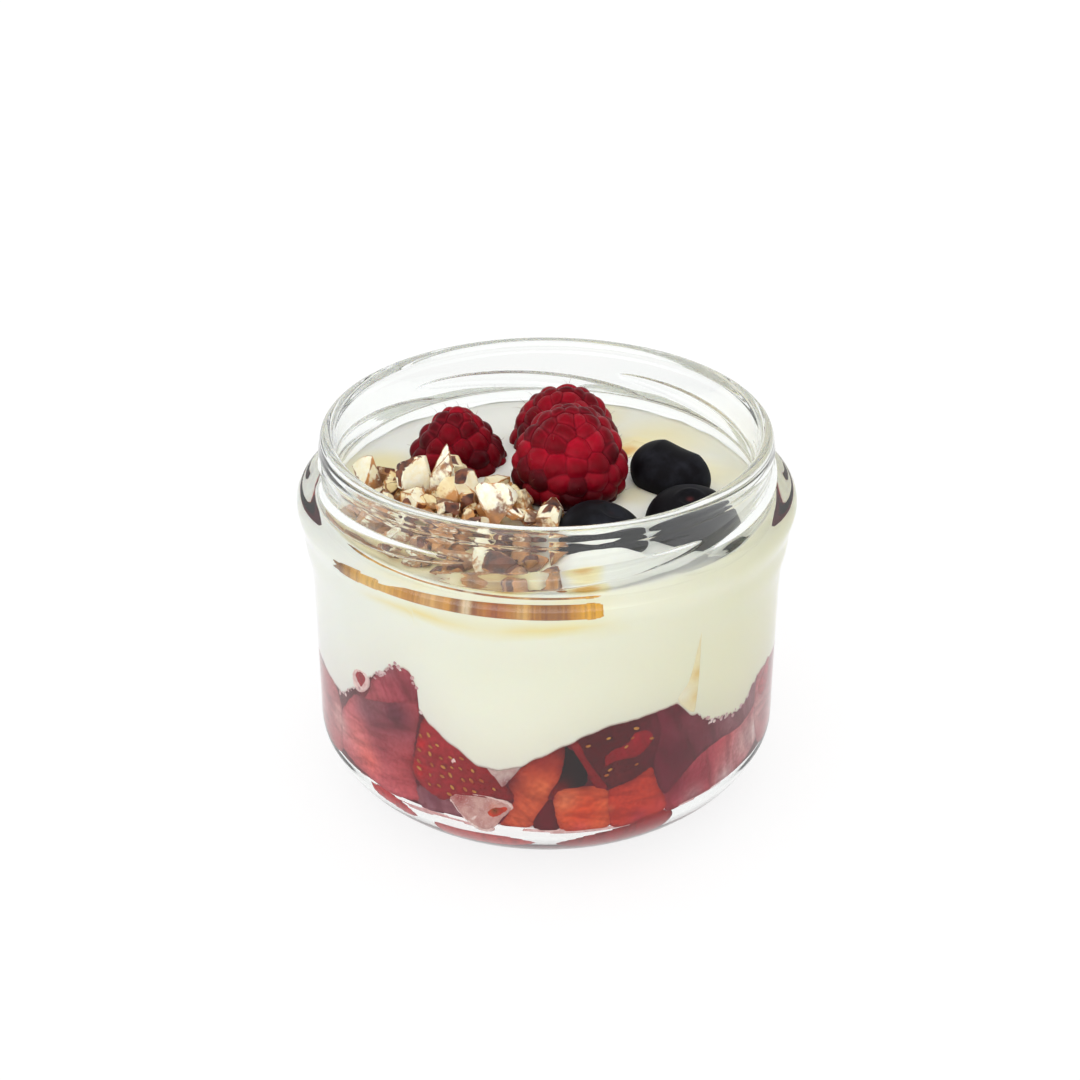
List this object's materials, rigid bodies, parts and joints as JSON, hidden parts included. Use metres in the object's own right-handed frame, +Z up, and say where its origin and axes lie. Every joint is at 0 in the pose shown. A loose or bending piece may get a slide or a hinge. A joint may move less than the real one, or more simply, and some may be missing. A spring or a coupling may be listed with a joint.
{
  "type": "fruit mascarpone dessert jar",
  "caption": "Squat wide-mouthed glass jar of layered strawberry and mascarpone cream dessert, topped with raspberries, blueberries and chopped nuts.",
  "frame": {"origin": "centre of the jar's foot, at the bottom of the bounding box", "axes": "+Z up out of the mouth, -Y to the front, +X to the right seen from the front"},
  "size_m": [0.087, 0.087, 0.0729],
  "materials": {
    "glass": "clear polished glass",
    "cream": "soft satin mascarpone cream",
    "strawberry": "wet cut strawberries in their juice",
    "raspberry": "velvety drupelets with a low gloss",
    "blueberry": "dark skin with a faint waxy bloom",
    "nuts": "chopped nuts, dry flesh and skin with a little honey"
  },
  "bodies": {
    "root": {"jar": "glass", "cream": "cream", "strawberries": "strawberry", "raspberry_front": "raspberry", "raspberry_back": "raspberry", "raspberry_left": "raspberry", "blueberry_back": "blueberry", "blueberry_right": "blueberry", "blueberry_front": "blueberry", "chopped_nuts": "nuts"}
  },
  "joints": []
}
